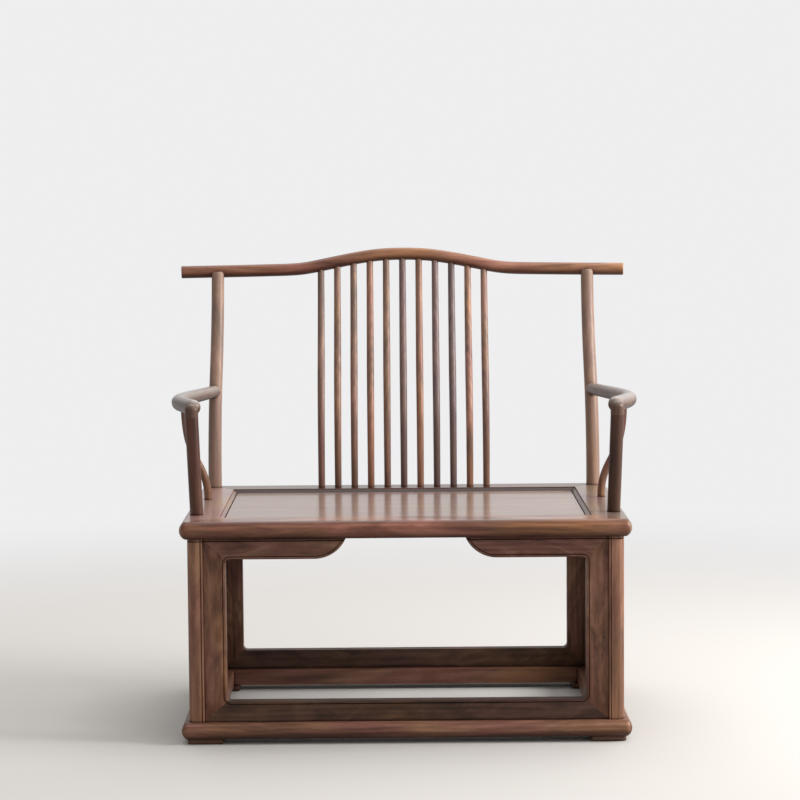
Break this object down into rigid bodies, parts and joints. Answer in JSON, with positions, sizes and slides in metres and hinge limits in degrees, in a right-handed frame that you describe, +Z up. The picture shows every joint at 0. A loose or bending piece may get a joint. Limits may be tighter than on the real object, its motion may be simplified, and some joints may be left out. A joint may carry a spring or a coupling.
{
  "type": "armchair",
  "caption": "Wide low wooden armchair with a humped yoke top rail, a fan of thin spindles, curved side arms, a framed panel seat and an open box base on a floor frame.",
  "frame": {"origin": "on the floor, under the middle of the chair's bounding box", "axes": "+Z up, +X to the right seen from the front, -Y towards the front of the chair"},
  "size_m": [0.941, 0.673, 0.928],
  "materials": {
    "frame_wood": "satin lacquered walnut",
    "panel_wood": "satin lacquered walnut"
  },
  "bodies": {
    "root": {"arm_left": "frame_wood", "arm_right": "frame_wood", "base_post_front_left": "frame_wood", "base_post_front_right": "frame_wood", "base_post_rear_left": "frame_wood", "base_post_rear_right": "frame_wood", "floor_rail_front": "frame_wood", "floor_rail_left": "frame_wood", "floor_rail_rear": "frame_wood", "floor_rail_right": "frame_wood", "foot_front_left": "frame_wood", "foot_front_right": "frame_wood", "foot_rear_left": "frame_wood", "foot_rear_right": "frame_wood", "front_bottom_board": "frame_wood", "front_left_apron": "frame_wood", "front_left_stile": "frame_wood", "front_post_left": "frame_wood", "front_post_right": "frame_wood", "front_right_apron": "frame_wood", "front_right_stile": "frame_wood", "left_bottom_board": "frame_wood", "left_left_apron": "frame_wood", "left_left_stile": "frame_wood", "left_right_apron": "frame_wood", "left_right_stile": "frame_wood", "rear_bottom_board": "frame_wood", "rear_left_apron": "frame_wood", "rear_left_stile": "frame_wood", "rear_post_left": "frame_wood", "rear_post_right": "frame_wood", "rear_right_apron": "frame_wood", "rear_right_stile": "frame_wood", "right_bottom_board": "frame_wood", "right_left_apron": "frame_wood", "right_left_stile": "frame_wood", "right_right_apron": "frame_wood", "right_right_stile": "frame_wood", "seat_batten_left": "panel_wood", "seat_batten_right": "panel_wood", "seat_panel": "panel_wood", "seat_rail_front": "frame_wood", "seat_rail_left": "frame_wood", "seat_rail_rear": "frame_wood", "seat_rail_right": "frame_wood", "side_stick_left": "frame_wood", "side_stick_right": "frame_wood", "spindle_01": "frame_wood", "spindle_02": "frame_wood", "spindle_03": "frame_wood", "spindle_04": "frame_wood", "spindle_05": "frame_wood", "spindle_06": "frame_wood", "spindle_07": "frame_wood", "spindle_08": "frame_wood", "spindle_09": "frame_wood", "spindle_10": "frame_wood", "spindle_11": "frame_wood", "top_rail": "frame_wood"}
  },
  "joints": []
}
